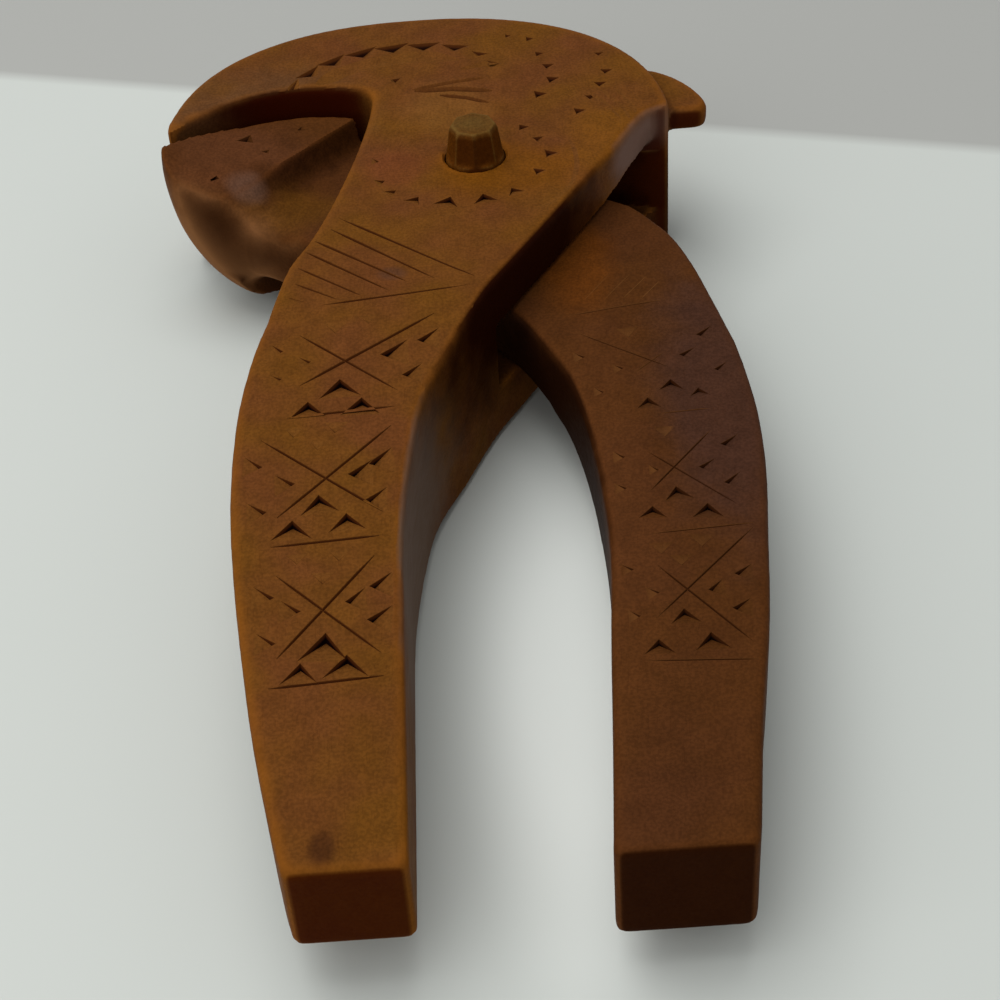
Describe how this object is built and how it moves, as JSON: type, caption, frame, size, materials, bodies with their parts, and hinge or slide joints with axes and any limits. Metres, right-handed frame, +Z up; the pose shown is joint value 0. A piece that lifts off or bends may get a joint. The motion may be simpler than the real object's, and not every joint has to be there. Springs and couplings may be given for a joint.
{
  "type": "lever nutcracker press",
  "caption": "Hand-carved wooden nutcracker: a jaw block on one lever swings on a whittled peg and presses the nut against the hooked lip of the other lever's round head.",
  "frame": {"origin": "centre of the bounding box at rest, at the level of the head's underside", "axes": "+Z up along the peg's axis, +Y from the handle ends to the head, +X to the right-hand lever"},
  "size_m": [0.0948, 0.1926, 0.036],
  "materials": {
    "yoke_wood": "oiled hardwood with a satin sheen, warm orange brown, worn lighter at the edges",
    "inner_wood": "oiled hardwood with a satin sheen, darker red brown",
    "peg_wood": "whittled hardwood, pale olive tan end grain on a brown shank"
  },
  "bodies": {
    "yoke": {"yoke_lever": "yoke_wood", "pivot_peg": "peg_wood"},
    "lever": {"inner_lever": "inner_wood"}
  },
  "joints": [
    {"name": "lever_hinge", "type": "hinge", "parent": "yoke", "child": "lever", "pos_m": [0.00639, 0.04616, 0.015], "axis": [0, 0, 1], "range_deg": [-4, 40]}
  ]
}
